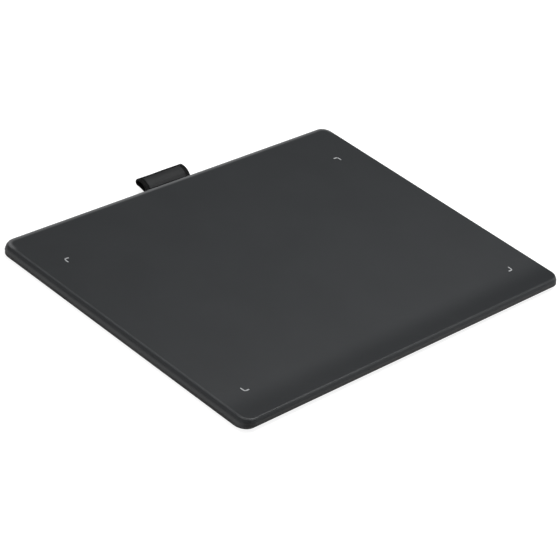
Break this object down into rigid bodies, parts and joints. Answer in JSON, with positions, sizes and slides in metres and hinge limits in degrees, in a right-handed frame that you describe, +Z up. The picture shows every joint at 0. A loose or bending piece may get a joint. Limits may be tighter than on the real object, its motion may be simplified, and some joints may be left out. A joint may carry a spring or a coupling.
{
  "type": "graphics tablet",
  "caption": "Slim pen tablet: flat matt work face with corner marks, sloping rim, shallow tray on rubber feet, webbing pen loop, charging socket and power button at the back edge.",
  "frame": {"origin": "on the desk, under the middle of the whole part's outline, the pen loop included", "axes": "+X to the user's right along the long side, +Y away from the user to the back edge with the loop, +Z up out of the work face"},
  "size_m": [0.24, 0.1852, 0.008],
  "materials": {
    "case_plastic": "fine-textured matt charcoal",
    "tray_plastic": "spark-textured matt, darker charcoal",
    "screw_steel": "black oxide",
    "foot_rubber": "matt silicone rubber",
    "clear_film": "adhesive film",
    "circuit_board": "green solder mask on glass-fibre board",
    "shield_steel": "tinned steel sheet",
    "socket_plastic": "ivory connector plastic",
    "flat_cable": "white film over flat copper",
    "chip_plastic": "moulded black",
    "socket_steel": "nickel-plated",
    "contact_metal": "gold-plated",
    "lamp_white": "encapsulated lamp",
    "clear_plastic": "frosted clear",
    "button_plastic": "satin",
    "cell_foil": "laminated foil pouch",
    "lead_rubber": "silicone insulation",
    "loop_webbing": "tightly woven black webbing",
    "patch_fabric": "dark grey coated patch, bare"
  },
  "bodies": {
    "case": {"top_cover": "case_plastic", "bottom_cover": "tray_plastic", "case_screws": "screw_steel", "foot_front_left": "foot_rubber", "foot_back_left": "foot_rubber", "foot_front_right": "foot_rubber", "foot_back_right": "foot_rubber", "sensor_bond_film": "clear_film", "sensor_board": "circuit_board", "shield_sheet": "shield_steel", "sensor_socket": "socket_plastic", "sensor_cable": "flat_cable", "board_cable_socket": "socket_plastic", "main_board": "circuit_board", "board_screws": "screw_steel", "processor_chip": "chip_plastic", "wireless_module": "circuit_board", "module_shield_can": "shield_steel", "board_parts": "chip_plastic", "usb_shell": "socket_steel", "usb_tongue": "chip_plastic", "usb_contacts": "contact_metal", "status_led": "lamp_white", "light_pipe": "clear_plastic", "power_switch": "chip_plastic", "battery_cell": "cell_foil", "battery_tape": "clear_film", "battery_leads": "lead_rubber", "battery_plug": "socket_plastic", "battery_socket": "socket_plastic", "loop_root": "loop_webbing", "loop_bar": "screw_steel"},
    "button": {"power_button": "button_plastic"},
    "plunger": {"switch_plunger": "socket_plastic"},
    "loop": {"pen_loop": "loop_webbing", "loop_patch": "patch_fabric"}
  },
  "joints": [
    {"name": "power_press", "type": "slide", "parent": "case", "child": "button", "axis": [0, -1, 0], "range_m": [0, 0.0003], "stiffness_N_per_m": 2000},
    {"name": "plunger_press", "type": "slide", "parent": "case", "child": "plunger", "axis": [0, -1, 0], "range_m": [0, 0.0003]},
    {"name": "loop_bend", "type": "hinge", "parent": "case", "child": "loop", "pos_m": [-0.0016, 0.0832, 0.00405], "axis": [1, 0, 0], "range_deg": [-20, 25], "stiffness_Nm_per_rad": 0.01}
  ],
  "couplings": [
    {"joint": "plunger_press", "follows": "power_press", "ratio": 1}
  ]
}
